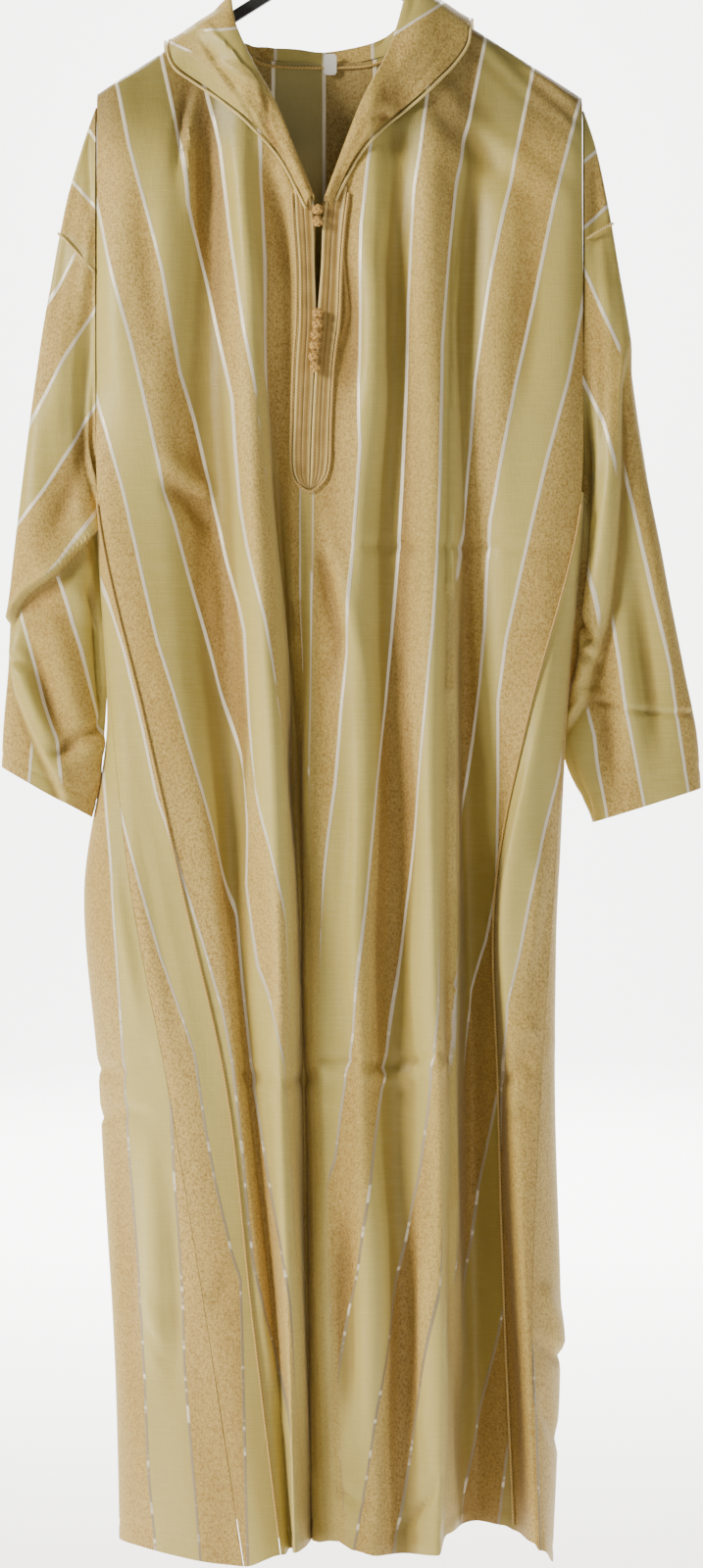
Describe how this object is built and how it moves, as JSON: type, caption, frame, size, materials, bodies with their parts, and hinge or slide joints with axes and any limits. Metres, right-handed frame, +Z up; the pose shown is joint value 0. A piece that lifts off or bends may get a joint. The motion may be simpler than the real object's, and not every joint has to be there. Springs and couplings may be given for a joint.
{
  "type": "hooded djellaba robe on a hanger",
  "caption": "Long striped hooded robe hung on a slim hanger: hollow body with side gores and hem slits, wide sleeves, hanging hood, V neck with braided placket and knot buttons.",
  "frame": {"origin": "bearing point at the inner top of the hanger's hook, where a rail carries it", "axes": "+Z up, -Y out of the robe's front, +X to the viewer's right"},
  "size_m": [0.656, 0.1821, 1.5795],
  "materials": {
    "striped_cloth": "woven cloth in wide bands of speckled tan and smooth olive satin with narrow silver stripes",
    "pale_trim": "pale yellow satin piping",
    "gold_piping": "golden satin cord",
    "braid": "rows of golden braid sewn side by side",
    "knot_cord": "knotted golden cord",
    "label_cloth": "blank white woven label",
    "hanger_plastic": "black matte plastic",
    "hook_wire": "black painted wire"
  },
  "bodies": {
    "root": {"front": "striped_cloth", "back": "striped_cloth", "gore_front_left": "striped_cloth", "gore_front_right": "striped_cloth", "gore_back_left": "striped_cloth", "gore_back_right": "striped_cloth", "sleeve_left": "striped_cloth", "sleeve_right": "striped_cloth", "hood": "striped_cloth", "hood_trim": "pale_trim", "armhole_piping_left": "pale_trim", "armhole_piping_right": "pale_trim", "piping_left": "gold_piping", "piping_right": "gold_piping", "neck_binding": "gold_piping", "placket_cord": "gold_piping", "placket_left": "braid", "placket_right": "braid", "knot_1": "knot_cord", "knot_2": "knot_cord", "knot_3": "knot_cord", "knot_4": "knot_cord", "knot_5": "knot_cord", "knot_6": "knot_cord", "knot_7": "knot_cord", "knot_8": "knot_cord", "label": "label_cloth", "hanger_arms": "hanger_plastic", "hanger_hook": "hook_wire"}
  },
  "joints": []
}
